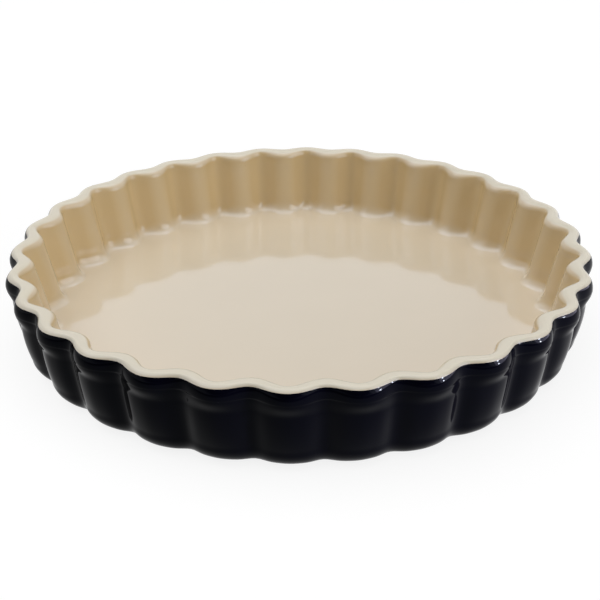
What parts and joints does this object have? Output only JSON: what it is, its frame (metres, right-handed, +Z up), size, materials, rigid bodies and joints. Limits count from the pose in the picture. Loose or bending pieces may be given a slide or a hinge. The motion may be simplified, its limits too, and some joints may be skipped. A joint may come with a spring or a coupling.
{
  "type": "pie dish",
  "caption": "Round shallow pie dish in glazed stoneware with a fluted wall, a raised collar under the rim and a flat floor on a foot ring.",
  "frame": {"origin": "centre of the dish on the table it stands on", "axes": "+Z up along the dish's axis, -Y towards the viewer with a flute's lobe on it, +X to the viewer's right"},
  "size_m": [0.2842, 0.2858, 0.042],
  "materials": {
    "clay": "bare fired stoneware, matt",
    "cream_glaze": "cream glaze, high gloss",
    "black_glaze": "black glaze, high gloss"
  },
  "bodies": {
    "root": {"stoneware_body": "clay", "interior_glaze": "cream_glaze", "exterior_glaze": "black_glaze", "underside_glaze": "black_glaze"}
  },
  "joints": []
}
